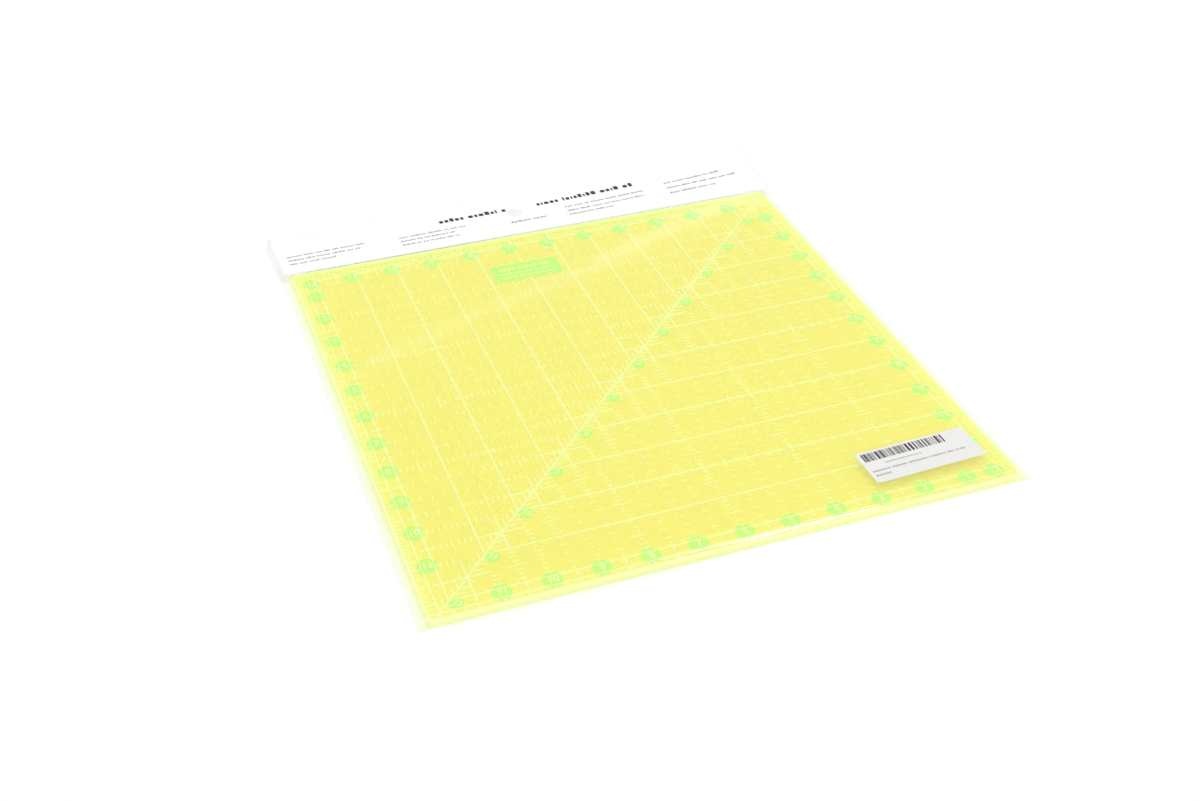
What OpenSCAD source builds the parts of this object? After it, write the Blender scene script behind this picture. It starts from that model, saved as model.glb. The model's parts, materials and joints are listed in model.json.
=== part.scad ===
// Square quilting ruler in its retail pack.
// A clear fluorescent acrylic plate, printed on its underside, lies in a clear film sleeve.
// A folded card header closes the sleeve's mouth and carries the hole that the pack hangs by.
// Ruler coordinates are centred on the plate: +X right, +Y towards the header, +Z up.
// Each node is then shifted so that the origin is the centre of the pack's footprint.

/* [Ruler plate] */
// Side of the square plate, 12 1/2 inches
ruler_side = 317.5; // [165.1:25.4:317.5]
// Thickness of the acrylic
plate_t = 3; // [2:0.1:5]
// Radius of the plate's corners
corner_r = 3; // [1:0.5:6]
// Diameter of the hanging hole in the plate
plate_hole_d = 8; // [5:0.5:8]
// Distance from the top edge to the centre of the plate's hole
plate_hole_drop = 18.8; // [18.5:0.1:20]

/* [Printed scale] */
// Width of the main printed lines
line_w = 0.45; // [0.3:0.05:0.6]
// Distance from each edge to its border line, a quarter of an inch
border_inset = 6.35; // [6:0.05:6.5]
// Diameter of the numbered discs round the edge
edge_disc_d = 10; // [8:0.5:10]
// Diameter of the numbered discs along the diagonal
diagonal_disc_d = 7; // [5:0.5:8]
// Distance from the edge to the centres of the numbered discs
disc_inset = 9.3; // [9:0.1:10]
// Width of the plain title panel
title_w = 43; // [30:1:50]
// Height of the plain title panel
title_h = 17.3; // [12:0.1:20]
// Thickness of one pass of ink
ink_t = 0.02; // [0.01:0.005:0.02]

/* [Sleeve] */
// Width of the flat film sleeve
sleeve_w = 330; // [180:1:340]
// Thickness of the film
film_t = 0.08; // [0.05:0.01:0.1]
// Width of the flat lip along each side of the sleeve
sleeve_lip = 3; // [2:0.5:4]
// Width of the welded line along each lip
weld_w = 1.6; // [1:0.1:2]
// Distance from the plate's bottom edge to the sleeve's bottom fold
bottom_room = 2.25; // [1.5:0.05:4]
// Distance that the sleeve runs past the plate's top edge
mouth_run = 17.3; // [12:0.1:18]

/* [Header card] */
// Width of the card
header_w = 330; // [180:1:340]
// Height of each panel from its lower edge to the fold
header_h = 46; // [40:1:60]
// Thickness of the card
card_t = 0.35; // [0.25:0.05:0.5]
// Angle at which the card sits across the sleeve
header_skew = 1.37; // [-2:0.01:2]
// Angle by which the front panel's lower edge is cut askew of the fold, in degrees
foot_skew = -1.23; // [-2:0.01:2]
// Place along the fold where the front panel is as tall as the back panel
foot_pivot = -72; // [-100:1:0]
// Distance from the plate's centre line to the card's centre
header_x = 0.75; // [-2:0.05:2]
// Distance from the plate's top edge to the middle of the card's lower edge
header_gap = 1.9; // [-2:0.1:4]
// Diameter of the card's hanging hole
header_hole_d = 9; // [6:0.5:10]
// Distance from the card's centre line to its hanging hole
header_hole_x = -7; // [-20:1:20]
// Distance from the card's lower edge to the centre of its hanging hole
header_hole_rise = 25; // [24:0.5:30]

/* [Barcode label] */
// Width of the paper label
label_w = 66; // [50:1:70]
// Height of the paper label
label_h = 25; // [20:1:30]
// Thickness of the paper
label_t = 0.07; // [0.05:0.01:0.1]
// Angle at which the label was stuck on
label_turn = 2; // [-5:0.5:5]
// Distance from the plate's right edge to the label's centre
label_from_right = 41.7; // [38:0.1:60]
// Distance from the plate's bottom edge to the label's centre
label_from_bottom = 31.2; // [28:0.1:60]

/* [Hidden] */

inch = 25.4;
half = ruler_side / 2;
side_in = ruler_side / inch;
inch_count = floor(side_in - 0.01);
edge_margin = 0.3;
slack = 0.02;
glue_t = 0.05;
label_ink_t = 0.02;

// Heights of the layers, from the table up
back_film_z = card_t + glue_t + slack;
film_room = 0.11;
ink_levels = 7;
plate_z = back_film_z + film_t + film_room + ink_levels * ink_t;
plate_top = plate_z + plate_t;
front_film_z = plate_top + 0.1;
front_film_top = front_film_z + film_t;
front_glue_z = front_film_top + slack;
front_card_z = front_glue_z + glue_t;
pack_h = front_card_z + card_t;

// The sleeve, from its bottom fold to its mouth
sleeve_bottom = -half - bottom_room;
sleeve_mouth = half + mouth_run;
film_shoulder = half + 1;

// The header's own frame has its origin at the middle of the card's lower edge
header_y = half + header_gap;
fold_r = pack_h / 2;
header_reach = header_h + fold_r;

// Footprint of the pack, which gives the origin of the assembly
skew_sin = sin(header_skew);
skew_cos = cos(header_skew);
header_x_low = header_x - header_w / 2 * skew_cos - max(header_reach * skew_sin, 0);
header_x_high = header_x + header_w / 2 * skew_cos - min(header_reach * skew_sin, 0);
header_y_high = header_y + header_w / 2 * abs(skew_sin) + header_reach * skew_cos;
pack_x_low = min(-sleeve_w / 2, header_x_low);
pack_x_high = max(sleeve_w / 2, header_x_high);
pack_centre = [(pack_x_low + pack_x_high) / 2, (sleeve_bottom + header_y_high) / 2, 0];

acrylic_yellow = [0.95, 0.93, 0.3, 0.8];
line_ink = [1, 1, 0.8];
disc_green = [0.6, 0.92, 0.5];
film_clear = [0.92, 0.94, 0.95, 0.3];
card_white = [0.97, 0.97, 0.97];
ink_black = [0.08, 0.08, 0.08];
ink_grey = [0.45, 0.45, 0.47];
glue_amber = [0.9, 0.87, 0.75];

// Moves a shape from ruler coordinates to the pack's own frame
module in_pack() {
    translate(-pack_centre)
        children();
}

// Moves a shape from the header's frame to the pack's own frame
module in_header() {
    in_pack()
        translate([header_x, header_y, 0])
            rotate(header_skew)
                children();
}

// Moves a shape from the label's centre, on the film, to the pack's own frame
module on_label(height) {
    in_pack()
        translate([half - label_from_right, -half + label_from_bottom, front_film_top + height])
            rotate(label_turn)
                children();
}

// A flat rectangle with round corners, centred on X and Y
module rounded_rectangle(width, depth, radius) {
    union() {
        square([width - 2 * radius, depth], center = true);
        square([width, depth - 2 * radius], center = true);
        for (x = [-1, 1], y = [-1, 1])
            translate([x * (width / 2 - radius), y * (depth / 2 - radius)])
                circle(r = radius, $fn = 48);
    }
}

// One pass of ink below the plate; level 0 touches the acrylic
module ink(level) {
    in_pack()
        translate([0, 0, plate_z - (level + 1) * ink_t])
            linear_extrude(ink_t)
                children();
}

// A printed bar between two places, given as inches from the right edge and from the top edge
module printed_bar(right_a, top_a, right_b, top_b) {
    low_x = max(half - max(right_a, right_b) * inch, -half + edge_margin);
    high_x = min(half - min(right_a, right_b) * inch, half - edge_margin);
    low_y = max(half - max(top_a, top_b) * inch, -half + edge_margin);
    high_y = min(half - min(top_a, top_b) * inch, half - edge_margin);
    upright = right_a == right_b;
    pad_x = upright ? line_w / 2 : 0;
    pad_y = upright ? 0 : line_w / 2;
    translate([low_x - pad_x, low_y - pad_y])
        square([high_x - low_x + 2 * pad_x, high_y - low_y + 2 * pad_y]);
}

// A round spot centred at inches from the right edge and from the top edge
module spot(from_right, from_top, diameter) {
    translate([half - from_right * inch, half - from_top * inch])
        circle(d = diameter, $fn = 48);
}

module acrylic_plate() {
    color(acrylic_yellow)
        in_pack()
            translate([0, 0, plate_z])
                difference() {
                    linear_extrude(plate_t)
                        rounded_rectangle(ruler_side, ruler_side, corner_r);
                    translate([0, half - plate_hole_drop, -1])
                        cylinder(d = plate_hole_d, h = plate_t + 2, $fn = 64);
                }
}

// The plain panel lies between the 6th and 8th inch lines, below the hanging hole
module title_panel() {
    panel_from_top = 1.45 * inch;
    panel_from_centre = 19.2;
    color(disc_green)
        ink(0)
            translate([-panel_from_centre, half - panel_from_top])
                rounded_rectangle(title_w, title_h, 1.3);
}

// Nested squares that grow from the top right corner, one for each inch
module inch_lines() {
    color(line_ink)
        ink(1)
            for (n = [1 : inch_count])
                union() {
                    printed_bar(n, 0, n, n + line_w / 2 / inch);
                    printed_bar(n, n, 0, n);
                }
}

// A cross in the middle of each inch square on the diagonal
module half_inch_crosses() {
    color(line_ink)
        ink(2)
            for (n = [0 : inch_count - 1])
                union() {
                    printed_bar(n + 0.5, n, n + 0.5, n + 1);
                    printed_bar(n + 1, n + 0.5, n, n + 0.5);
                }
}

// The 45 degree line from the top right corner to the bottom left one
module diagonal_line() {
    length = (ruler_side - 2 * corner_r) * sqrt(2);
    color(line_ink)
        ink(3)
            rotate(45)
                square([length, line_w], center = true);
}

// The four lines that bound the finely divided edge strips
module border_lines() {
    inset_in = border_inset / inch;
    color(line_ink)
        ink(4)
            union() {
                printed_bar(side_in - inset_in, 0, side_in - inset_in, side_in);
                printed_bar(side_in, side_in - inset_in, 0, side_in - inset_in);
                printed_bar(inset_in, 0.5, inset_in, side_in - inset_in);
                printed_bar(inch_count, inset_in, 0.5, inset_in);
            }
}

// Half inch marks from the edge to the border line, on all four sides
module half_inch_ticks() {
    inset_in = border_inset / inch - line_w / inch;
    color(line_ink)
        ink(5)
            for (k = [1 : 2 * inch_count]) {
                place = k / 2;
                printed_bar(side_in, place, side_in - inset_in, place);
                printed_bar(place, side_in, place, side_in - inset_in);
                printed_bar(inset_in, place, 0, place);
                printed_bar(place, 0, place, inset_in);
            }
}

// Discs behind the numbers along the top, right, left and bottom edges
module edge_number_discs() {
    inset_in = disc_inset / inch;
    beside = 0.12;
    color(disc_green)
        ink(6) {
            for (n = [1 : inch_count]) {
                spot(n + beside, inset_in, edge_disc_d);
                spot(inset_in, n + beside * 0.75, edge_disc_d);
            }
            for (n = [1 : inch_count - 1]) {
                spot(side_in - inset_in, n - beside / 2, edge_disc_d);
                spot(n, side_in - inset_in - 0.04, edge_disc_d);
            }
        }
}

// Smaller discs beside the diagonal, one for each inch
module diagonal_number_discs() {
    color(disc_green)
        ink(6)
            for (n = [1 : inch_count])
                spot(n - 0.125, n + 0.1, diagonal_disc_d);
}

// Outline of the front film, seen along the sleeve; it rises from the lips over the plate
module film_section(top) {
    lip_z = top - (front_film_top - back_film_z - 2 * film_t);
    outer = sleeve_w / 2;
    shoulder_out = half + bottom_room + 1;
    polygon([[-outer, 0], [outer, 0], [outer, lip_z], [shoulder_out, lip_z],
             [film_shoulder, top], [-film_shoulder, top], [-shoulder_out, lip_z], [-outer, lip_z]]);
}

// Outline of the front film, seen from the side; it is open at the mouth
module film_profile(top, foot) {
    polygon([[foot, 0], [sleeve_mouth + 1, 0], [sleeve_mouth + 1, top],
             [foot + bottom_room - 1, top]]);
}

// The space under one face of the front film, down to the table
module film_space(top, foot) {
    intersection() {
        translate([0, sleeve_mouth, 0])
            rotate([90, 0, 0])
                linear_extrude(sleeve_mouth - sleeve_bottom + 2)
                    film_section(top);
        translate([-sleeve_w / 2 - 1, 0, 0])
            rotate([90, 0, 90])
                linear_extrude(sleeve_w + 2)
                    film_profile(top, foot);
    }
}

module sleeve_front_film() {
    film_bottom = back_film_z + film_t;
    color(film_clear)
        in_pack()
            difference() {
                film_space(front_film_top, sleeve_bottom);
                film_space(front_film_z, sleeve_bottom + film_t);
                translate([-sleeve_w, -sleeve_w, -1])
                    cube([2 * sleeve_w, 2 * sleeve_w, film_bottom + 1]);
            }
}

module sleeve_back_film() {
    color(film_clear)
        in_pack()
            translate([-sleeve_w / 2, sleeve_bottom, back_film_z])
                cube([sleeve_w, sleeve_mouth - sleeve_bottom, film_t]);
}

// The welded lines that close the two sides of the sleeve
module sleeve_side_welds() {
    weld_z = back_film_z + 2 * film_t;
    weld_x = sleeve_w / 2 - weld_w / 2 - 0.4;
    color(film_clear)
        in_pack()
            for (side = [-1, 1])
                translate([side * weld_x - weld_w / 2, sleeve_bottom + 1, weld_z])
                    cube([weld_w, sleeve_mouth - sleeve_bottom - 1, film_t]);
}

module barcode_label() {
    color(card_white)
        on_label(0)
            linear_extrude(label_t)
                rounded_rectangle(label_w, label_h, 1.5);
}

// Plain bars of three widths that repeat along the label; they carry no code
module barcode_bars() {
    bar_h = 6.4;
    pitch = 1.85;
    bars = 27;
    widths = [0.5, 0.9, 0.7, 1.2];
    color(ink_black)
        on_label(label_t)
            linear_extrude(label_ink_t)
                for (i = [0 : bars - 1])
                    translate([-label_w / 2 + 1.4 + i * pitch, label_h / 2 - 1.8 - bar_h])
                        square([widths[(i * 3 + floor(i / 4)) % len(widths)], bar_h]);
}

// Three plain strokes where a label would carry its small print
module label_print() {
    color(ink_grey)
        on_label(label_t)
            linear_extrude(label_ink_t) {
                translate([-18, -label_h / 2 + 13.6])
                    square([24, 1.1]);
                translate([-label_w / 2 + 3, -label_h / 2 + 8.6])
                    square([label_w - 8, 1.5]);
                translate([-label_w / 2 + 3, -label_h / 2 + 5])
                    square([10, 1.5]);
            }
}

// One panel of the header, with its hanging hole, between the fold and a lower edge that may run askew
module header_panel(height_above_table, skew) {
    left = -header_w / 2;
    right = header_w / 2;
    difference() {
        translate([0, 0, height_above_table])
            linear_extrude(card_t)
                polygon([
                    [left, (left - foot_pivot) * tan(skew)],
                    [right, (right - foot_pivot) * tan(skew)],
                    [right, header_h],
                    [left, header_h],
                ]);
        translate([header_hole_x, header_hole_rise, -1])
            cylinder(d = header_hole_d, h = pack_h + 2, $fn = 64);
    }
}

module header_back_panel() {
    color(card_white)
        in_header()
            header_panel(0, 0);
}

// The front panel's lower edge lies along the ruler's top edge
module header_front_panel() {
    color(card_white)
        in_header()
            header_panel(front_card_z, foot_skew);
}

// The round fold that joins the two panels
module header_fold() {
    color(card_white)
        in_header()
            translate([-header_w / 2, header_h, fold_r])
                rotate([90, 0, 90])
                    linear_extrude(header_w)
                        difference() {
                            circle(r = fold_r, $fn = 64);
                            circle(r = fold_r - card_t, $fn = 64);
                            translate([-2 * fold_r, -2 * fold_r])
                                square([2 * fold_r, 4 * fold_r]);
                        }
}

// A strip of glue that holds one panel to the film
module glue_strip(height_above_table) {
    strip_w = header_w - 30;
    strip_h = 9;
    color(glue_amber)
        in_header()
            translate([-strip_w / 2, 4.5, height_above_table])
                cube([strip_w, strip_h, glue_t]);
}

module back_glue_strip() {
    glue_strip(card_t);
}

module front_glue_strip() {
    glue_strip(front_glue_z);
}

// A printed stroke on the header's face
module header_stroke(x, y, width, height) {
    translate([x, y, pack_h])
        cube([width, height, label_ink_t]);
}

// Two heavy strokes in place of a title, and one thin stroke in place of a size
module header_title_bars() {
    color(ink_black)
        in_header() {
            header_stroke(-59, 23, 45, 3.4);
            header_stroke(10, 23, 76, 3.4);
            header_stroke(-9, 14, 26, 2);
        }
}

// Four notes of three thin strokes each
module header_notes() {
    color(ink_grey)
        in_header()
            for (note = [[-154, 50], [-88, 44], [36, 54], [103, 52]], line = [0 : 2])
                header_stroke(note[0], 18.5 - 4.6 * line, note[1] * (1 - 0.22 * line), 1.4);
}

acrylic_plate();
title_panel();
inch_lines();
half_inch_crosses();
diagonal_line();
border_lines();
half_inch_ticks();
edge_number_discs();
diagonal_number_discs();
sleeve_front_film();
sleeve_back_film();
sleeve_side_welds();
barcode_label();
barcode_bars();
label_print();
header_back_panel();
header_fold();
back_glue_strip();
header_front_panel();
front_glue_strip();
header_title_bars();
header_notes();
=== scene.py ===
"""Looks for the quilting ruler in its retail pack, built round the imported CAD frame.

The acrylic plate, the front film, the header's front panel and fold, and the fine printing are built
here. The other CAD nodes stay and get finished materials. Lengths are metres in the row frame. Places on
the plate, the sleeve and the header are worked out from the frame's own boxes, mounts and joints.
"""

import json
import math
import random

import bmesh
import bpy
from mathutils import Matrix, Vector


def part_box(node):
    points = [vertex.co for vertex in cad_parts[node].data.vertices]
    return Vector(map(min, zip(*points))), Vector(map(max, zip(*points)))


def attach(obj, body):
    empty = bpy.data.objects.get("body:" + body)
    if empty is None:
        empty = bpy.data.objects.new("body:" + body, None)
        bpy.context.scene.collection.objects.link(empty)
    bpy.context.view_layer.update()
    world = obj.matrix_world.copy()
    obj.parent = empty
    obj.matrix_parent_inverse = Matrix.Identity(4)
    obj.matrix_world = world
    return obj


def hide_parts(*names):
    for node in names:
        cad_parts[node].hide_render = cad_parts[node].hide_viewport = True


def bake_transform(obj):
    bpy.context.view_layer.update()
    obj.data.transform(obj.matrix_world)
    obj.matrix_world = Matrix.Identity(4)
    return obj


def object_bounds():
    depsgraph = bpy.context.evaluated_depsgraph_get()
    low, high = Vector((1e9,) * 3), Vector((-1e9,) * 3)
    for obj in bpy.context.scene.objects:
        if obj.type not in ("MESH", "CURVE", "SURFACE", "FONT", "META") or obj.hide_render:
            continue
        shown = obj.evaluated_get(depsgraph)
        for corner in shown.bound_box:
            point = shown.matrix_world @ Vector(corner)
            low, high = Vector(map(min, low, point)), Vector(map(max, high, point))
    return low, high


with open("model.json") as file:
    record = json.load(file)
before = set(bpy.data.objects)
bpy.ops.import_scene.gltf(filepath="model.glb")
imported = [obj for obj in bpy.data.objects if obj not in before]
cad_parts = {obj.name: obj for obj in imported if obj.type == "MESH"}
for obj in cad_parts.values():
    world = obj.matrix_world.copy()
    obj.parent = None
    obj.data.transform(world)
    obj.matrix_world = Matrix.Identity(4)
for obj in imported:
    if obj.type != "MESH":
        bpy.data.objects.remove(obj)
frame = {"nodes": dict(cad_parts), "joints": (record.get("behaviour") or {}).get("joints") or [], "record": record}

cad_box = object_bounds()

# ---------------------------------------------------------------- dimensions, from the frame

MM = 0.001
INCH = 0.0254

plate_low, plate_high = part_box("acrylic_plate")
HALF = (plate_high.x - plate_low.x) / 2
SIDE_IN = 2 * HALF / INCH
INCH_COUNT = int(SIDE_IN)
EIGHTHS = 8
CENTRE = (plate_low + plate_high) / 2
PLATE_Z = plate_low.z
PLATE_TOP = plate_high.z
CORNER_R = 3 * MM

film_low, film_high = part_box("sleeve_front_film")
FILM_T = 0.08 * MM
INK_T = 0.02 * MM

label_low, label_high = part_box("barcode_label")
LABEL_CENTRE = (label_low + label_high) / 2
LABEL_W, LABEL_H, LABEL_TURN = 66 * MM, 25 * MM, math.radians(2)

mounts = {m["name"]: m for m in frame["record"]["mounts"]}
joints = {j["name"]: j for j in frame["joints"]}
PLATE_HOLE = Vector(mounts["plate_hole"]["pos_m"])
PLATE_HOLE_R = mounts["plate_hole"]["dims"]["r_mm"] * MM
HEADER_HOLE = Vector(mounts["header_hole"]["pos_m"])
HEADER_HOLE_R = mounts["header_hole"]["dims"]["r_mm"] * MM

# The header's own frame: its x runs along the fold, its y from the lower edge to the fold
HEADER_Y = Vector(joints["header_slide"]["axis"])
HEADER_X = HEADER_Y.cross(Vector((0, 0, 1)))
FOLD = Vector(joints["header_flap"]["pos_m"])
PACK_H = FOLD.z
HEADER_W, HEADER_H, CARD_T = 330 * MM, 46 * MM, 0.35 * MM
HEADER_FOOT = FOLD - HEADER_Y * HEADER_H - Vector((0, 0, PACK_H))

# The front panel's lower edge is cut this much askew of the fold, about a pivot along its length
FOOT_SKEW = math.radians(-1.23)
FOOT_PIVOT = -72 * MM

# The front panel springs up by this much at the right end of the fold, starting from a place along it
LIFT = 7 * MM
LIFT_START = -20 * MM


# ---------------------------------------------------------------- mesh helpers

def make_object(name, mesh, body, material):
    """Links a finished mesh as a piece that rides on a CAD body."""
    piece = bpy.data.objects.new(name, mesh)
    bpy.context.scene.collection.objects.link(piece)
    mesh.materials.append(material)
    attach(piece, body)
    return piece


def shade_smooth(mesh):
    mesh.polygons.foreach_set("use_smooth", [True] * len(mesh.polygons))


def prism(bm, outline, low, high):
    """Adds a closed prism over a list of (x, y) points that run anticlockwise."""
    bottom = [bm.verts.new((x, y, low)) for x, y in outline]
    top = [bm.verts.new((x, y, high)) for x, y in outline]
    bm.faces.new(list(reversed(bottom)))
    bm.faces.new(top)
    count = len(outline)
    for i in range(count):
        j = (i + 1) % count
        bm.faces.new((bottom[i], bottom[j], top[j], top[i]))


def rectangle(x, y, width, height):
    """Corners of a rectangle from its centre and size."""
    a, b = width / 2, height / 2
    return [(x - a, y - b), (x + a, y - b), (x + a, y + b), (x - a, y + b)]


def rounded(x, y, width, height, radius, steps=4):
    """Corners of a rectangle with round corners."""
    points = []
    for corner, (sx, sy) in enumerate(((1, -1), (1, 1), (-1, 1), (-1, -1))):
        cx = x + sx * (width / 2 - radius)
        cy = y + sy * (height / 2 - radius)
        for i in range(steps + 1):
            angle = math.radians(90 * (corner - 1 + i / steps))
            points.append((cx + radius * math.cos(angle), cy + radius * math.sin(angle)))
    return points


def mesh_from(bm, name):
    """Turns a finished bmesh into a mesh and frees it."""
    mesh = bpy.data.meshes.new(name)
    bm.normal_update()
    bm.to_mesh(mesh)
    bm.free()
    return mesh


def evaluated_mesh(obj, name):
    """Takes a helper object's final mesh and deletes the helper."""
    graph = bpy.context.evaluated_depsgraph_get()
    mesh = bpy.data.meshes.new_from_object(obj.evaluated_get(graph), depsgraph=graph)
    mesh.name = name
    bpy.data.objects.remove(obj)
    return mesh


def flat_outline_mesh(name, loops, thickness, bevel):
    """A flat slab with holes and rounded edges, from closed loops of (x, y) points, centred on z = 0."""
    curve = bpy.data.curves.new(name, "CURVE")
    curve.dimensions = "2D"
    curve.fill_mode = "BOTH"
    for loop in loops:
        spline = curve.splines.new("POLY")
        spline.points.add(len(loop) - 1)
        for point, (x, y) in zip(spline.points, loop):
            point.co = (x, y, 0, 1)
        spline.use_cyclic_u = True
    curve.extrude = thickness / 2 - bevel
    curve.bevel_depth = bevel
    curve.bevel_resolution = 2
    curve.offset = -bevel
    helper = bpy.data.objects.new(name, curve)
    bpy.context.scene.collection.objects.link(helper)
    return evaluated_mesh(helper, name)


def circle_points(centre, radius, steps=64):
    """Points round a circle, anticlockwise."""
    points = []
    for i in range(steps):
        angle = 2 * math.pi * i / steps
        points.append((centre.x + radius * math.cos(angle), centre.y + radius * math.sin(angle)))
    return points


# ---------------------------------------------------------------- material helpers

class Shader:
    """A material's node tree, with short calls to add and join nodes."""

    def __init__(self, name):
        self.material = bpy.data.materials.new(name)
        self.material.use_nodes = True
        self.tree = self.material.node_tree
        self.tree.nodes.clear()
        self.output = self.tree.nodes.new("ShaderNodeOutputMaterial")

    def add(self, kind, settings=None, **inputs):
        made = self.tree.nodes.new("ShaderNode" + kind)
        for key, value in (settings or {}).items():
            setattr(made, key, value)
        for key, value in inputs.items():
            self.set(made, key.replace("_", " "), value)
        return made

    def set(self, made, key, value):
        """Sets an input by name or by number, to a value or to another node's output."""
        socket = made.inputs[int(key)] if key.isdigit() else made.inputs[key]
        if isinstance(value, bpy.types.NodeSocket):
            self.tree.links.new(value, socket)
        else:
            socket.default_value = value

    def maths(self, operation, a, b=0.0, clamp=False):
        made = self.add("Math", {"operation": operation, "use_clamp": clamp})
        self.set(made, "0", a)
        self.set(made, "1", b)
        return made.outputs[0]

    def place(self):
        """Row-frame coordinates, because every piece's origin is the frame's."""
        return self.add("TexCoord").outputs["Object"]

    def noise(self, scale, detail, stretch=(1, 1, 1)):
        mapping = self.add("Mapping", Vector=self.place(), Scale=stretch)
        return self.add("TexNoise", Vector=mapping.outputs[0], Scale=scale, Detail=detail).outputs[0]

    def ramp(self, factor, stops):
        made = self.add("ValToRGB", Fac=factor)
        elements = made.color_ramp.elements
        elements[0].position, elements[0].color = stops[0][0], (*stops[0][1], 1)
        elements[1].position, elements[1].color = stops[-1][0], (*stops[-1][1], 1)
        for position, colour in stops[1:-1]:
            elements.new(position).color = (*colour, 1)
        return made.outputs[0]

    def bump(self, height, strength, distance):
        return self.add("Bump", Height=height, Strength=strength, Distance=distance).outputs[0]

    def mix(self, factor, first, second):
        made = self.add("MixShader")
        self.set(made, "0", factor)
        self.set(made, "1", first)
        self.set(made, "2", second)
        return made.outputs[0]

    def finish(self, shader):
        self.tree.links.new(shader, self.output.inputs["Surface"])
        return self.material


def tinted(colour, change):
    """The colour, darkened or lightened by a share."""
    return tuple(max(0.0, c * (1 + change)) for c in colour)


# ---------------------------------------------------------------- acrylic

def acrylic_face_material():
    """Fluorescent yellow: see-through with a tint, under a painted glow (emission); colour and glow turn paler and
    greener towards the edges as painted edge glow.

    The far cut edges show through this face and look too yellow there, so a painted blue glow lies in front of
    them.
    """
    edge_zone, cloudiness = 22 * MM, 0.08
    far_zone_x, far_zone_y = 2 * MM, 4 * MM
    solid_share = 0.18
    s = Shader("acrylic_face")
    place = s.add("SeparateXYZ", Vector=s.place())
    across = s.maths("ABSOLUTE", s.maths("SUBTRACT", place.outputs[0], CENTRE.x))
    along = s.maths("ABSOLUTE", s.maths("SUBTRACT", place.outputs[1], CENTRE.y))
    inwards = s.maths("SUBTRACT", HALF, s.maths("MAXIMUM", across, along))
    depth = s.maths("DIVIDE", inwards, edge_zone, clamp=True)
    cloud = s.maths("SUBTRACT", s.noise(14, 2), 0.5)
    shift = s.maths("ADD", depth, s.maths("MULTIPLY", cloud, cloudiness))
    # Painted edge glow: the colour turns paler and greener near the edges.
    colour = s.ramp(shift, [
        (0.0, (0.86, 0.92, 0.60)),
        (0.10, (0.90, 0.90, 0.50)),
        (0.3, (0.92, 0.84, 0.42)),
        (1.0, (0.92, 0.80, 0.40)),
    ])
    # Painted glow: emission for the light that the fluorescent acrylic gathers, paler and greener near the edges.
    glow = s.ramp(shift, [
        (0.0, (0.16, 0.30, 0.50)),
        (0.05, (0.24, 0.28, 0.20)),
        (0.12, (0.36, 0.32, 0.05)),
        (1.0, (0.26, 0.28, 0.02)),
    ])
    # Mask for the painted blue glow in front of the far cut edges.
    behind = s.maths("SUBTRACT", place.outputs[1], CENTRE.y + HALF - far_zone_y)
    beside = s.maths("SUBTRACT", place.outputs[0], CENTRE.x + HALF - far_zone_x)
    far_y = s.maths("DIVIDE", behind, far_zone_y, clamp=True)
    far_x = s.maths("DIVIDE", beside, far_zone_x, clamp=True)
    far = s.maths("MAXIMUM", far_x, far_y)
    lit = s.add("MixRGB", Fac=far, Color1=glow, Color2=(0.0, 0.30, 1.7, 1)).outputs[0]
    speck = s.ramp(s.noise(1600, 1), [(0.3, (0.98, 0.98, 0.97)), (0.7, (1.0, 1.0, 1.0))])
    varied = s.add("MixRGB", {"blend_type": "MULTIPLY"}, Fac=1.0, Color1=colour, Color2=speck).outputs[0]
    solid = s.add("BsdfPrincipled", Base_Color=varied, Roughness=0.08, IOR=1.49)
    s.set(solid, "Emission Color", lit)
    s.set(solid, "Emission Strength", 1.0)
    s.set(solid, "Normal", s.bump(s.noise(9, 1), 0.02, 0.001))
    clear = s.add("BsdfTransparent", Color=(0.97, 0.94, 0.29, 1))
    return s.finish(s.mix(solid_share, clear.outputs[0], solid.outputs[0]))


def acrylic_under_material():
    """The underside: polished and clear, so that the print on it shows from above."""
    solid_share = 0.03
    s = Shader("acrylic_under")
    gleam = s.ramp(s.noise(30, 2), [(0.3, (0.90, 0.92, 0.50)), (0.7, (0.96, 0.95, 0.60))])
    solid = s.add("BsdfPrincipled", Base_Color=gleam, Roughness=0.08, IOR=1.49)
    clear = s.add("BsdfTransparent", Color=(1, 1, 1, 1))
    return s.finish(s.mix(solid_share, clear.outputs[0], solid.outputs[0]))


def acrylic_edge_material():
    """The cut edges glow pale green, unevenly as a saw leaves them: a painted glow (emission) for the plate's
    light that they gather, over a deep yellow band at their foot that is a painted contact line where they meet
    the film below.
    """
    unevenness = 0.25
    s = Shader("acrylic_edge")
    place = s.add("SeparateXYZ", Vector=s.place())
    above = s.maths("SUBTRACT", place.outputs[2], PLATE_Z)
    rise = s.maths("DIVIDE", above, PLATE_TOP - PLATE_Z, clamp=True)
    saw = s.maths("SUBTRACT", s.noise(60, 2, (1, 1, 0.05)), 0.5)
    height = s.maths("ADD", rise, s.maths("MULTIPLY", saw, unevenness))
    # Deep yellow at the foot is a painted contact line; paler above it.
    colour = s.ramp(height, [
        (0.0, (0.72, 0.78, 0.12)),
        (0.2, (0.69, 0.82, 0.44)),
        (0.6, (0.69, 0.84, 0.52)),
        (1.0, (0.71, 0.88, 0.50)),
    ])
    # Painted glow of the cut edges.
    glow = s.ramp(height, [
        (0.0, (0.38, 0.42, 0.04)),
        (0.2, (0.35, 0.44, 0.24)),
        (1.0, (0.34, 0.46, 0.26)),
    ])
    solid = s.add("BsdfPrincipled", Base_Color=colour, Roughness=0.22, IOR=1.49)
    s.set(solid, "Emission Color", glow)
    s.set(solid, "Emission Strength", 1.0)
    s.set(solid, "Normal", s.bump(s.noise(700, 2, (1, 1, 0.1)), 0.15, 0.0003))
    return s.finish(solid.outputs[0])


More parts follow.
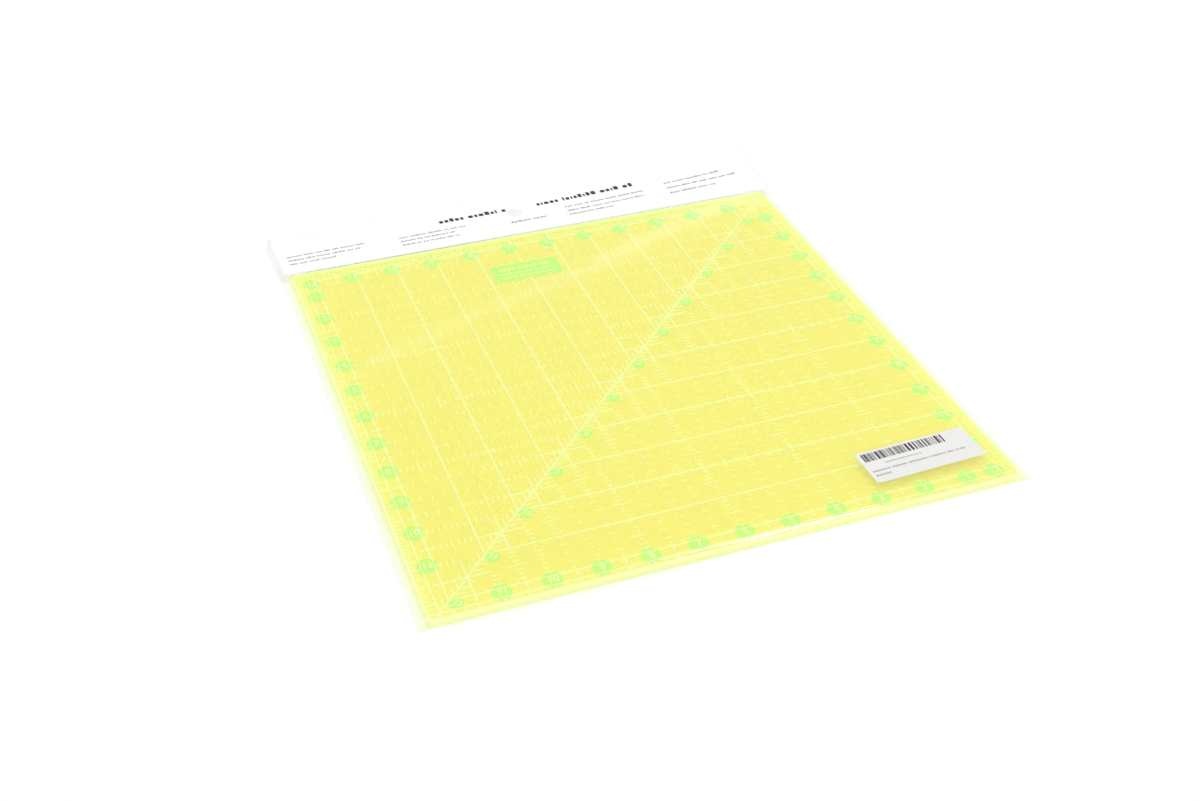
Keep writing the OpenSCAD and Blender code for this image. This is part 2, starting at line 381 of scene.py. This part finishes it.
def ink_material(name, colour, glow, strength, scale=420):
    """Screen-printed ink: slightly uneven cover, with a painted glow (emission) that lights it as the glowing
    acrylic above it would.
    """
    s = Shader(name)
    cover = s.noise(scale, 3)
    varied = s.ramp(cover, [(0.25, tinted(colour, -0.07)), (0.5, colour), (0.8, tinted(colour, 0.05))])
    # Painted glow: the ink's emission colour.
    lit = s.ramp(cover, [(0.25, tinted(glow, -0.06)), (0.8, glow)])
    solid = s.add("BsdfPrincipled", Base_Color=varied, Roughness=0.55)
    s.set(solid, "Emission Color", lit)
    s.set(solid, "Emission Strength", strength)
    s.set(solid, "Normal", s.bump(s.noise(1500, 2), 0.2, 0.0001))
    return s.finish(solid.outputs[0])


# ---------------------------------------------------------------- film, card and paper

def film_material():
    """Clear film: all but see-through, with a gloss that its ripples break up.

    Past the plate's edges it carries a pale yellow tint, in place of the light that the edges throw on it.
    """
    crinkle_share = 0.01
    tint_reach = 14 * MM
    s = Shader("clear_film")
    ripple = s.noise(26, 2, (1.0, 0.6, 1.0))
    crinkle = s.noise(170, 2)
    height = s.maths("ADD", ripple, s.maths("MULTIPLY", crinkle, crinkle_share))
    normal = s.bump(height, 0.05, 0.001)
    gloss = s.add("BsdfPrincipled", Base_Color=(0.98, 0.98, 0.98, 1), Metallic=1.0, Roughness=0.05)
    s.set(gloss, "Normal", normal)
    place = s.add("SeparateXYZ", Vector=s.place())
    across = s.maths("ABSOLUTE", s.maths("SUBTRACT", place.outputs[0], CENTRE.x))
    along = s.maths("ABSOLUTE", s.maths("SUBTRACT", place.outputs[1], CENTRE.y))
    beyond = s.maths("SUBTRACT", s.maths("MAXIMUM", across, along), HALF)
    reached = s.maths("DIVIDE", beyond, tint_reach)
    caught = s.ramp(s.maths("ADD", reached, 0.5), [
        (0.49, (0.994, 0.995, 0.994)),
        (0.50, (0.988, 1.0, 0.87)),
        (0.64, (0.996, 1.0, 0.94)),
        (0.80, (0.998, 1.0, 0.985)),
    ])
    clear = s.add("BsdfTransparent", Color=caught)
    outside = s.maths("SUBTRACT", 1.0, s.add("NewGeometry").outputs["Backfacing"])
    share = s.maths("MULTIPLY", s.add("Fresnel", IOR=1.45).outputs[0], outside)
    return s.finish(s.mix(share, clear.outputs[0], gloss.outputs[0]))


def fibre_material(name, colour, roughness, fibre=0.012, glow=0.0):
    """Card, paper or ink on them: a fine fibre pattern in the colour and the surface, and a painted glow
    (emission) where glow is given.
    """
    fibre_share = 0.7
    s = Shader(name)
    fibres = s.noise(900, 4, (1.0, 2.4, 1.0))
    cloud = s.noise(40, 2)
    blend = s.maths("ADD", s.maths("MULTIPLY", fibres, fibre_share), s.maths("MULTIPLY", cloud, 0.3))
    dark, light = tinted(colour, -3 * fibre), tinted(colour, fibre)
    varied = s.ramp(blend, [(0.3, dark), (0.55, colour), (0.8, light)])
    solid = s.add("BsdfPrincipled", Base_Color=varied, Roughness=roughness)
    s.set(solid, "Normal", s.bump(fibres, 0.25, 0.00008))
    # Painted glow: emission in the card's own varied colour.
    if glow:
        s.set(solid, "Emission Color", varied)
        s.set(solid, "Emission Strength", glow)
    return s.finish(solid.outputs[0])


acrylic_face = acrylic_face_material()
acrylic_under = acrylic_under_material()
acrylic_edge = acrylic_edge_material()
# The second colour given to each ink is its painted glow, and the number after it is that glow's strength.
line_ink = ink_material("line_ink", (0.90, 0.92, 0.90), (0.07, 0.27, 1.0), 1.35)
number_ink = ink_material("number_ink", (0.80, 0.95, 0.85), (0.13, 0.40, 0.62), 1.6)
disc_ink = ink_material("disc_ink", (0.42, 0.90, 0.70), (0.02, 0.30, 0.26), 1.0, 260)
clear_film = film_material()
# The white card's glow is painted light: it lifts the shade in its hole, under its edges and between its panels.
white_card = fibre_material("white_card", (0.66, 0.66, 0.66), 0.5, glow=0.5)
label_paper = fibre_material("label_paper", (0.81, 0.805, 0.785), 0.4)
black_ink = fibre_material("black_ink", (0.015, 0.015, 0.017), 0.45, 0.3)
grey_ink = fibre_material("grey_ink", (0.30, 0.30, 0.31), 0.5, 0.08)
dry_glue = fibre_material("dry_glue", (0.82, 0.80, 0.70), 0.35, 0.03)


# ---------------------------------------------------------------- plate

def build_plate():
    """The plate with finely rounded edges: glowing cut edges and clear faces."""
    square = rounded(CENTRE.x, CENTRE.y, 2 * HALF, 2 * HALF, CORNER_R, 10)
    hole = circle_points(PLATE_HOLE, PLATE_HOLE_R)
    edge_round = 0.25 * MM
    mesh = flat_outline_mesh("plate", [square, hole], PLATE_TOP - PLATE_Z, edge_round)
    mesh.transform(Matrix.Translation((0, 0, CENTRE.z)))
    mesh.materials.clear()
    plate = make_object("plate", mesh, "ruler", acrylic_face)
    mesh.materials.append(acrylic_edge)
    mesh.materials.append(acrylic_under)
    edge_slot, under_slot = 1, 2
    level = 0.95
    for face in mesh.polygons:
        face.use_smooth = False
        beside_hole = (face.center.xy - PLATE_HOLE.xy).length < 2 * PLATE_HOLE_R
        if face.normal.z < -level:
            face.material_index = under_slot
        elif face.normal.z < level and not beside_hole:
            face.material_index = edge_slot
    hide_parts("acrylic_plate")


# ---------------------------------------------------------------- fine printing

def from_corner(right, top):
    """Row-frame x and y of a place given as inches from the plate's right and top edges."""
    return CENTRE.x + HALF - right * INCH, CENTRE.y + HALF - top * INCH


class Ticks:
    """Collects thin printed marks on the level of ink that touches the plate."""

    WIDTH = 0.32 * MM
    MARGIN = 0.3 * MM

    def __init__(self):
        self.bm = bmesh.new()
        self.high = PLATE_Z
        self.low = PLATE_Z - 0.6 * INK_T

    def bar(self, right_a, top_a, right_b, top_b):
        """A mark between two places that share a distance from the right edge or from the top edge."""
        half_w = self.WIDTH / 2
        xa, ya = from_corner(right_a, top_a)
        xb, yb = from_corner(right_b, top_b)
        low_x, high_x = sorted((xa, xb))
        low_y, high_y = sorted((ya, yb))
        limit = HALF - self.MARGIN
        low_x, high_x = max(low_x, CENTRE.x - limit), min(high_x, CENTRE.x + limit)
        low_y, high_y = max(low_y, CENTRE.y - limit), min(high_y, CENTRE.y + limit)
        if abs(right_a - right_b) < 1e-6:
            low_x, high_x = low_x - half_w, high_x + half_w
        else:
            low_y, high_y = low_y - half_w, high_y + half_w
        corners = [(low_x, low_y), (high_x, low_y), (high_x, high_y), (low_x, high_y)]
        prism(self.bm, corners, self.low, self.high)

    def both_ways(self, right_a, top_a, right_b, top_b):
        """The mark, and its mirror image in the diagonal."""
        self.bar(right_a, top_a, right_b, top_b)
        self.bar(top_a, right_a, top_b, right_b)

    def finish(self, name):
        make_object(name, mesh_from(self.bm, name), "ruler", line_ink)


def inside_panel(right, top):
    """True where the title panel covers the field."""
    low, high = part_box("title_panel")
    x, y = from_corner(right, top)
    gap = 1.0 * MM
    return low.x - gap < x < high.x + gap and low.y - gap < y < high.y + gap


def eighth_kind(k):
    """What part of an inch the k-th eighth is: 8, 4, 2 or 1 eighths."""
    return next(part for part in (8, 4, 2, 1) if k % part == 0)


def build_edge_ticks():
    """Eighth inch marks in the strips along all four edges."""
    ticks = Ticks()
    lengths = {2: 0.17, 1: 0.12}
    cross, cross_inset = 0.035, 0.125
    dash_from, dash_to = 0.34, 0.41
    for k in range(1, int(SIDE_IN * EIGHTHS)):
        place, kind = k / EIGHTHS, eighth_kind(k)
        if kind in lengths:
            ticks.both_ways(place, 0, place, lengths[kind])
            ticks.both_ways(place, SIDE_IN, place, SIDE_IN - lengths[kind])
        if kind == 4:
            ticks.both_ways(place - cross, cross_inset, place + cross, cross_inset)
            ticks.both_ways(place - cross, SIDE_IN - cross_inset, place + cross, SIDE_IN - cross_inset)
            ticks.both_ways(place, dash_from, place, dash_to)
            ticks.both_ways(place, SIDE_IN - dash_from, place, SIDE_IN - dash_to)
    ticks.finish("edge_ticks")


def build_diagonal_ticks():
    """Eighth inch marks that stand on the diagonal, up and to the right."""
    ticks = Ticks()
    length, border, top_margin = 0.23, 0.25, 0.02
    for k in range(2, int((SIDE_IN - border) * EIGHTHS)):
        if eighth_kind(k) in (8, 4):
            continue
        place = k / EIGHTHS
        ticks.both_ways(place, max(place - length, top_margin), place, place)
    ticks.finish("diagonal_ticks")


def row_marks(row):
    """The marks of one half-inch row above the diagonal: (inches from the right edge, half length)."""
    whole = row % 2 == 0
    down = row / 2
    short, quarter, long_mark = 0.035, 0.07, 0.19
    border = 0.35
    next_inch = int(down) + 1
    for k in range(int((down + 0.5) * EIGHTHS), int((SIDE_IN - border) * EIGHTHS)):
        right = k / EIGHTHS
        cell, kind = int(right), eighth_kind(k)
        if kind == 8:
            continue
        near_cell = cell == int(down) if whole else cell == next_inch
        if kind == 4 and (row % 4 == 0 and cell >= down + 2 or not whole and cell == next_inch):
            yield right, long_mark
        elif kind in (2, 4):
            if not (whole and cell == int(down) and kind == 4):
                yield right, quarter
        elif near_cell:
            yield right, quarter
        elif row % 4 == 0:
            yield right, quarter if (k // 2) % 2 else short


def build_field_ticks():
    """Rows of marks at every half inch above the diagonal, mirrored below it."""
    ticks = Ticks()
    diagonal_gap = 0.6
    for row in range(1, int(SIDE_IN * 2) - 1):
        down = row / 2
        for right, reach in row_marks(row):
            if right - down < diagonal_gap or inside_panel(right, down):
                continue
            ticks.both_ways(right, down - reach, right, down + reach)
    ticks.finish("field_ticks")


def build_crossing_ticks():
    """Short marks across the inch lines, at halves and on even lines at quarters."""
    ticks = Ticks()
    quarter, half_on_even, half_on_odd = 0.055, 0.125, 0.06
    for n in range(1, INCH_COUNT + 1):
        even = n % 2 == 0
        half = half_on_even if even else half_on_odd
        for k in range(1, 4 * n - 1):
            if k % 2 and not even:
                continue
            reach = quarter if k % 2 else half
            down = k / 4
            if inside_panel(n, down):
                continue
            ticks.both_ways(n - reach, down, n + reach, down)
    ticks.finish("crossing_ticks")


def numeral_mesh(text, height, bold):
    """Flat solid digits centred on the origin, from Blender's own plain font."""
    size_per_digit_height = 1.38
    curve = bpy.data.curves.new("digits", "FONT")
    curve.body = text
    curve.align_x, curve.align_y = "CENTER", "CENTER"
    curve.size = height * size_per_digit_height
    curve.offset = bold
    curve.extrude = 0.3 * INK_T
    curve.resolution_u = 3
    helper = bpy.data.objects.new("digits", curve)
    bpy.context.scene.collection.objects.link(helper)
    return evaluated_mesh(helper, "digits")


def number_places():
    """Each printed number with its place in inches, its height and its turn, on the discs' own centres."""
    inset, beside = 9.3 * MM / INCH, 0.12
    back, down, near_lift = 0.125, 0.1, 0.04
    tall, small, small_turn = 4.5 * MM, 3.4 * MM, math.radians(-45)
    for n in range(1, INCH_COUNT + 1):
        yield n, n + beside, inset, tall, 0.0
        yield n, inset, n + beside * 0.75, tall, 0.0
        yield n, n - back, n + down, small, small_turn
    for n in range(1, INCH_COUNT):
        yield n, SIDE_IN - inset, n - beside / 2, tall, 0.0
        yield n, n, SIDE_IN - inset - near_lift, tall, 0.0


def build_numbers():
    """All the numbers on the discs, as one printed piece."""
    bm = bmesh.new()
    level = PLATE_Z - 0.35 * INK_T
    bold, nudge = 0.14 * MM, 0.3 * MM
    for n, right, top, height, turn in number_places():
        digits = numeral_mesh(str(n), height, bold)
        x, y = from_corner(right, top)
        digits.transform(Matrix.Translation((x + nudge, y - nudge, level)) @ Matrix.Rotation(turn, 4, "Z"))
        bm.from_mesh(digits)
        bpy.data.meshes.remove(digits)
    make_object("numbers", mesh_from(bm, "numbers"), "ruler", number_ink)


def build_title_panel():
    """The green panel, with three rows of plain blocks where it would carry a name."""
    low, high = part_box("title_panel")
    middle, size = (low + high) / 2, high - low
    corner_r, roundness = 1.3 * MM, 0.3
    bm = bmesh.new()
    prism(bm, rounded(middle.x, middle.y, size.x, size.y, corner_r), low.z, low.z + 0.5 * INK_T)
    panel = make_object("title_plate", mesh_from(bm, "title_plate"), "ruler", disc_ink)
    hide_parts("title_panel")
    bm = bmesh.new()
    level = low.z + 0.6 * INK_T
    unit_per_height = 0.62
    # Each row: its place up the panel as a share, its height, and its width as a share
    rows = ((0.70, 3.2 * MM, 0.78), (0.40, 1.6 * MM, 0.86), (0.17, 1.6 * MM, 0.82))
    for share, height, width_share in rows:
        y = low.y + (high.y - low.y) * share
        width = (high.x - low.x) * width_share
        for x, w in block_row(width, height * unit_per_height, seed=int(share * 100)):
            centre_x = middle.x - width / 2 + x
            prism(bm, rounded(centre_x, y, w, height, w * roundness), level, level + 0.3 * INK_T)
    make_object("title_strokes", mesh_from(bm, "title_strokes"), "ruler", number_ink)


def block_row(width, unit, seed, gap=0.42):
    """Blocks of different widths in word-like groups along a row: (centre, width) of each."""
    word_gap = 0.9
    draw = random.Random(seed)
    x, left_in_word = 0.0, draw.randint(4, 8)
    while True:
        w = unit * draw.choice((0.45, 0.8, 1.0, 1.0, 1.2))
        if x + w > width:
            return
        yield x + w / 2, w
        x += w + unit * gap
        left_in_word -= 1
        if left_in_word == 0:
            x += unit * word_gap
            left_in_word = draw.randint(3, 8)


# ---------------------------------------------------------------- sleeve

def film_height(x, y):
    """Height of the front film's upper face over a place measured from the plate's centre.

    Flat over the plate and drawn down past its edges, it puckers along the welds, ripples a little, and
    rises to a low ridge just inside the near edge, whose slope catches the overhead light as in the photo.
    """
    rest = film_high.z
    lip = film_low.z + FILM_T
    past_x = max(abs(x) - HALF, 0.0)
    past_y = max(-y - HALF, 0.0)
    room_x = 5.2 * MM
    room_y = -(film_low.y - CENTRE.y) - HALF
    ridge_rise, ridge_inset, ridge_spread = 0.45 * MM, 2.5 * MM, 2.0 * MM
    reach = math.hypot(past_x / room_x, past_y / room_y)
    fall = 0.5 + 0.5 * math.cos(math.pi * min(reach, 1.0))
    wave = 0.30 * math.sin(y * 92 + x * 11) + 0.22 * math.sin(y * 211 + 1.3) if past_x else 0.0
    wave += 0.2 * math.sin(x * 150 + 0.7) if past_y else 0.0
    pucker = wave * MM * math.sin(math.pi * min(reach, 1.0))
    ripple = 0.05 * MM * math.sin(x * 31 + y * 17) * math.sin(y * 23 - x * 9)
    from_ridge = (y + HALF - ridge_inset) / ridge_spread
    ridge = ridge_rise * math.exp(-(from_ridge ** 2)) if abs(x) < HALF else 0.0
    return max(lip, lip + (rest - lip) * fall + pucker + ripple * fall + ridge)


def spread(low, high, fine, coarse_steps, fine_steps):
    """Places from low to high, close together within a band at each end."""
    ends = [low + fine * i / fine_steps for i in range(fine_steps)]
    middle = [low + fine + (high - low - 2 * fine) * i / coarse_steps for i in range(coarse_steps)]
    return ends + middle + [high - fine + fine * i / fine_steps for i in range(fine_steps + 1)]


def sheet(name, xs, ys, top_height, thickness):
    """A closed thin sheet over a grid, with its upper face at top_height(x, y)."""
    bm = bmesh.new()
    upper = [[bm.verts.new((x, y, top_height(x, y))) for x in xs] for y in ys]
    lower = [[bm.verts.new((x, y, top_height(x, y) - thickness)) for x in xs] for y in ys]
    rows, columns = len(ys), len(xs)
    for j in range(rows - 1):
        for i in range(columns - 1):
            bm.faces.new((upper[j][i], upper[j][i + 1], upper[j + 1][i + 1], upper[j + 1][i]))
            bm.faces.new((lower[j][i], lower[j + 1][i], lower[j + 1][i + 1], lower[j][i + 1]))
    rim = [(0, i) for i in range(columns)] + [(j, columns - 1) for j in range(1, rows)]
    rim += [(rows - 1, i) for i in range(columns - 2, -1, -1)] + [(j, 0) for j in range(rows - 2, 0, -1)]
    for a, b in zip(rim, rim[1:] + rim[:1]):
        bm.faces.new((lower[a[0]][a[1]], lower[b[0]][b[1]], upper[b[0]][b[1]], upper[a[0]][a[1]]))
    mesh = mesh_from(bm, name)
    shade_smooth(mesh)
    return mesh


def build_front_film():
    """The loose upper film, drawn down round the plate on three sides and open under the header."""
    low_x, high_x = film_low.x - CENTRE.x, film_high.x - CENTRE.x
    low_y, high_y = film_low.y - CENTRE.y, film_high.y - CENTRE.y
    fine_x, fine_y = 9 * MM, 16 * MM
    xs = spread(low_x, high_x, fine_x, 56, 14)
    ys = spread(low_y, high_y, fine_y, 56, 32)
    mesh = sheet("front_film", xs, ys, film_height, FILM_T)
    mesh.transform(Matrix.Translation((CENTRE.x, CENTRE.y, 0)))
    film = make_object("front_film", mesh, "sleeve", clear_film)
    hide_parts("sleeve_front_film")


# ---------------------------------------------------------------- barcode label

def label_matrix(height):
    """From the label's own frame, centred on the label, to the row frame at a height."""
    place = Matrix.Translation((LABEL_CENTRE.x, LABEL_CENTRE.y, height))
    return place @ Matrix.Rotation(LABEL_TURN, 4, "Z")


def build_barcode():
    """Plain bars of several widths; the pattern is drawn at random and carries no code."""
    draw = random.Random(7)
    bm = bmesh.new()
    start, end, top_margin = 2.6 * MM, 52.5 * MM, 1.5 * MM
    bar_h, unit = 6.4 * MM, 0.48 * MM
    x, right = -LABEL_W / 2 + start, -LABEL_W / 2 + end
    y = LABEL_H / 2 - top_margin - bar_h / 2
    while x < right:
        w = unit * draw.choice((1, 1, 2, 3))
        prism(bm, rectangle(x + w / 2, y, w, bar_h), 0, INK_T)
        x += w + unit * draw.choice((1, 1, 2, 2))
    mesh = mesh_from(bm, "barcode")
    mesh.transform(label_matrix(label_high.z))
    bars = make_object("barcode", mesh, "sleeve", black_ink)
    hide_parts("barcode_bars")


def build_label_strokes():
    """Rows of small blocks where the label carries its small print."""
    bm = bmesh.new()
    unit_per_height, roundness = 0.66, 0.25
    start = -LABEL_W / MM / 2 + 2.4
    # Each row, in millimetres: left end, rise above the label's lower edge, width, height, and its seed
    rows = ((-20.5, 13.6, 22, 1.0, 11), (start, 8.9, 56, 1.4, 12), (start, 5.4, 9, 1.5, 13))
    for left, rise, width, height, seed in rows:
        y = -LABEL_H / 2 + rise * MM
        for x, w in block_row(width * MM, height * MM * unit_per_height, seed, gap=0.75):
            prism(bm, rounded(left * MM + x, y, w, height * MM, w * roundness), 0, INK_T)
    mesh = mesh_from(bm, "label_strokes")
    mesh.transform(label_matrix(label_high.z))
    strokes = make_object("label_strokes", mesh, "sleeve", grey_ink)
    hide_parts("label_print")


# ---------------------------------------------------------------- header card

def panel_height(x, y):
    """Height of the front panel's upper face; the card springs up towards the right end of its fold."""
    rise_per_height = 1.15
    along = max((x - LIFT_START) / (HEADER_W / 2 - LIFT_START), 0.0) ** 2
    up = math.sin(math.pi / 2 * min(max(rise_per_height * y / HEADER_H, 0.0), 1.0))
    return PACK_H + LIFT * along * up


def header_matrix():
    """From the header's own frame to the row frame."""
    matrix = Matrix.Identity(4)
    for row in range(3):
        matrix[row][0] = HEADER_X[row]
        matrix[row][1] = HEADER_Y[row]
        matrix[row][3] = HEADER_FOOT[row]
    return matrix


def hole_in_header():
    """The middle of the hanging hole, in the header's own frame."""
    return header_matrix().inverted() @ HEADER_HOLE


def panel_foot(x):
    """Where the front panel's lower edge lies: it runs along the plate, a little askew of the fold."""
    return (x - FOOT_PIVOT) * math.tan(FOOT_SKEW)


def build_front_panel():
    """The front panel: a thin curved card with its hanging hole."""
    steps_x, steps_y = 88, 14
    cut_reach = 5 * MM
    xs = [-HEADER_W / 2 + HEADER_W * i / steps_x for i in range(steps_x + 1)]
    ys = [HEADER_H * i / steps_y for i in range(steps_y + 1)]
    flat = sheet("front_panel", xs, ys, lambda x, y: CARD_T, CARD_T)
    for v in flat.vertices:
        v.co.y += panel_foot(v.co.x) * (1 - v.co.y / HEADER_H)
    helper = bpy.data.objects.new("front_panel_helper", flat)
    bpy.context.scene.collection.objects.link(helper)
    hole = hole_in_header()
    bm = bmesh.new()
    prism(bm, circle_points(hole, HEADER_HOLE_R, 48), -cut_reach, cut_reach)
    cutter = bpy.data.objects.new("hole_cutter", mesh_from(bm, "hole_cutter"))
    bpy.context.scene.collection.objects.link(cutter)
    cut = helper.modifiers.new("hole", "BOOLEAN")
    cut.operation, cut.solver, cut.object = "DIFFERENCE", "EXACT", cutter
    mesh = evaluated_mesh(helper, "front_panel")
    bpy.data.objects.remove(cutter)
    for v in mesh.vertices:
        v.co.z += panel_height(v.co.x, v.co.y) - CARD_T
    mesh.transform(header_matrix())
    mesh.materials.clear()
    panel = make_object("front_panel", mesh, "header_flap", white_card)
    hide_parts("header_front_panel")


def build_fold():
    """The round fold: it follows the back panel at one side and the front panel at the other."""
    steps_x, steps_a = 66, 12
    bm = bmesh.new()
    bulge = PACK_H / 2
    outer, inner = [], []
    for i in range(steps_x + 1):
        x = -HEADER_W / 2 + HEADER_W * i / steps_x
        top = panel_height(x, HEADER_H)
        for ring, offset in ((outer, 0.0), (inner, CARD_T)):
            points = []
            for k in range(steps_a + 1):
                angle = math.pi * (k / steps_a - 0.5)
                z = top / 2 + (top / 2 - offset) * math.sin(angle)
                y = HEADER_H + (bulge - offset) * math.cos(angle)
                points.append(bm.verts.new((x, y, z)))
            ring.append(points)
    for i in range(steps_x):
        for k in range(steps_a):
            bm.faces.new((outer[i][k], outer[i + 1][k], outer[i + 1][k + 1], outer[i][k + 1]))
            bm.faces.new((inner[i][k], inner[i][k + 1], inner[i + 1][k + 1], inner[i + 1][k]))
        for k in (0, steps_a):
            quad = (outer[i][k], inner[i][k], inner[i + 1][k], outer[i + 1][k])
            bm.faces.new(quad if k == 0 else tuple(reversed(quad)))
    for i in (0, steps_x):
        for k in range(steps_a):
            quad = (outer[i][k], outer[i][k + 1], inner[i][k + 1], inner[i][k])
            bm.faces.new(quad if i == 0 else tuple(reversed(quad)))
    bmesh.ops.recalc_face_normals(bm, faces=bm.faces)
    mesh = mesh_from(bm, "fold")
    shade_smooth(mesh)
    mesh.transform(header_matrix())
    fold = bpy.data.objects.new("fold", mesh)
    bpy.context.scene.collection.objects.link(fold)
    mesh.materials.append(white_card)
    # A level a fifth of the way up the fold, and points on the fold at that level and at its top; nothing below
    # uses them.
    bend_from = 0.2 * PACK_H
    foot = header_matrix() @ Vector((0, HEADER_H, bend_from))
    head = header_matrix() @ Vector((0, HEADER_H, PACK_H))
    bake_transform(fold)
    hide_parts("header_fold")


def header_blocks(name, rows, material, stands_for):
    """Rows of plain blocks on the front panel: (left, rise, width, height, seed) of each, in mm."""
    unit_per_height, roundness = 0.8, 0.28
    height_seeds = 100
    bm = bmesh.new()
    for left, rise, width, height, seed in rows:
        draw = random.Random(seed + height_seeds)
        for x, w in block_row(width * MM, height * MM * unit_per_height, seed, gap=0.36):
            tall = height * MM * draw.choice((1.0, 1.0, 1.0, 1.35))
            y = rise * MM + (tall - height * MM) / 2
            prism(bm, rounded(left * MM + x, y, w, tall, w * roundness), 0, INK_T)
    mesh = mesh_from(bm, name)
    for v in mesh.vertices:
        v.co.z += panel_height(v.co.x, v.co.y)
    mesh.transform(header_matrix())
    blocks = make_object(name, mesh, "header_flap", material)
    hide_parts(stands_for)


def build_header_print():
    """Two heavy titles, a size line, and four groups of three note lines."""
    titles = [(-56.5, 30.0, 46, 3.3, 21), (10.5, 29.4, 71, 3.3, 22)]
    notes = [(-12.5, 13.2, 24, 1.7, 30)]
    note_height, first_seed = 1.35, 40
    # Each group, in millimetres: left end, rises of its lines, and widths of its lines
    groups = (
        (-158, (22, 17.5, 13), (50, 46, 31)),
        (-86, (20, 15.5, 10.8), (45, 37, 38)),
        (26.5, (19.6, 14.3, 9.6), (58, 56, 31)),
        (99, (22.4, 16.6, 10.8), (41, 52, 33)),
    )
    for i, (left, rises, widths) in enumerate(groups):
        for line, (rise, width) in enumerate(zip(rises, widths)):
            notes.append((left, rise, width, note_height, first_seed + 3 * i + line))
    header_blocks("title_blocks", titles, black_ink, "header_title_bars")
    header_blocks("note_blocks", notes, grey_ink, "header_notes")


# ---------------------------------------------------------------- materials on the CAD nodes that stay

def dress(node, material):
    """Gives a CAD node its finished material; its shape and place stay."""
    mesh = frame["nodes"][node].data
    mesh.materials.clear()
    mesh.materials.append(material)


def dress_frame():
    for node in ("inch_lines", "half_inch_crosses", "diagonal_line", "border_lines", "half_inch_ticks"):
        dress(node, line_ink)
    for node in ("edge_number_discs", "diagonal_number_discs"):
        dress(node, disc_ink)
    for node in ("sleeve_back_film", "sleeve_side_welds"):
        dress(node, clear_film)
    dress("barcode_label", label_paper)
    dress("header_back_panel", white_card)
    for node in ("back_glue_strip", "front_glue_strip"):
        dress(node, dry_glue)


# ---------------------------------------------------------------- stage, light and camera

def build_floor():
    """A pale floor that shines a little itself, as the photo's overexposed sweep does."""
    size, depth, gap = 6.0, 20 * MM, 0.05 * MM
    bm = bmesh.new()
    prism(bm, rectangle(CENTRE.x, CENTRE.y, size, size), -depth, cad_box[0][2] - gap)
    floor = bpy.data.objects.new("floor", mesh_from(bm, "floor"))
    bpy.context.scene.collection.objects.link(floor)
    s = Shader("pale_floor")
    tone = s.ramp(s.noise(3, 2), [(0.3, (0.72, 0.72, 0.72)), (0.7, (0.74, 0.74, 0.74))])
    solid = s.add("BsdfPrincipled", Base_Color=tone, Roughness=0.9)
    solid.inputs["Specular IOR Level"].default_value = 0.1
    s.set(solid, "Emission Color", tone)
    s.set(solid, "Emission Strength", 0.34)
    floor.data.materials.append(s.finish(solid.outputs[0]))


def area_light(name, place, target, size, power, colour=(1, 1, 1)):
    """A rectangular light at a place, facing a target."""
    light = bpy.data.lights.new(name, "AREA")
    light.shape = "RECTANGLE"
    light.size, light.size_y = size
    light.energy = power
    light.color = colour
    lamp = bpy.data.objects.new(name, light)
    lamp.location = place
    lamp.rotation_euler = (Vector(target) - Vector(place)).to_track_quat("-Z", "Y").to_euler()
    bpy.context.scene.collection.objects.link(lamp)
    return lamp


def build_light():
    """An even white studio, one soft light overhead, and the strips behind the film's streak."""
    world = bpy.data.worlds.new("studio")
    world.use_nodes = True
    background = world.node_tree.nodes["Background"]
    background.inputs["Color"].default_value = (1, 1, 1, 1)
    background.inputs["Strength"].default_value = 0.96
    bpy.context.scene.world = world
    area_light("overhead", (0.86, 0.74, 1.9), (0.05, -0.02, 0), (0.54, 0.15), 5.8)
    # Two narrow strips that face straight down: their reflections make the pale streak across the film
    cool = (0.25, 0.35, 1.0)
    strips = (
        ("long_strip", (0.636, 1.872, 1.2), (0.99, 0.024), 0.085, 19.5),
        ("bright_strip", (0.92, 1.975, 1.19), (0.46, 0.018), 0.045, 18),
    )
    for name, place, size, power, turn in strips:
        strip = area_light(name, place, (place[0], place[1], 0), size, power, cool)
        strip.rotation_euler = (0, 0, math.radians(turn))


def build_camera():
    """The view in the photo, from the front left and above: solved from the printed grid."""
    camera = bpy.data.cameras.new("camera")
    camera.sensor_width = 36
    camera.lens = 46.46
    holder = bpy.data.objects.new("camera", camera)
    datum = Vector((CENTRE.x, CENTRE.y, PLATE_Z + 0.65 * MM))
    place = datum + Vector((-0.2688, -0.6643, 0.5117))
    target = datum + Vector((-0.0242, -0.0229, 0.0))
    roll = math.radians(0.705)
    turn = (target - place).to_track_quat("-Z", "Y").to_matrix().to_4x4()
    holder.matrix_world = Matrix.Translation(place) @ turn @ Matrix.Rotation(roll, 4, "Z")
    bpy.context.scene.collection.objects.link(holder)
    bpy.context.scene.camera = holder


build_plate()
build_edge_ticks()
build_diagonal_ticks()
build_field_ticks()
build_crossing_ticks()
build_numbers()
build_title_panel()
build_front_film()
build_barcode()
build_label_strokes()
build_front_panel()
build_fold()
build_header_print()
dress_frame()
build_floor()
build_light()
build_camera()
bpy.context.scene.view_settings.view_transform = "Standard"
bpy.context.scene.cycles.transparent_max_bounces = 32
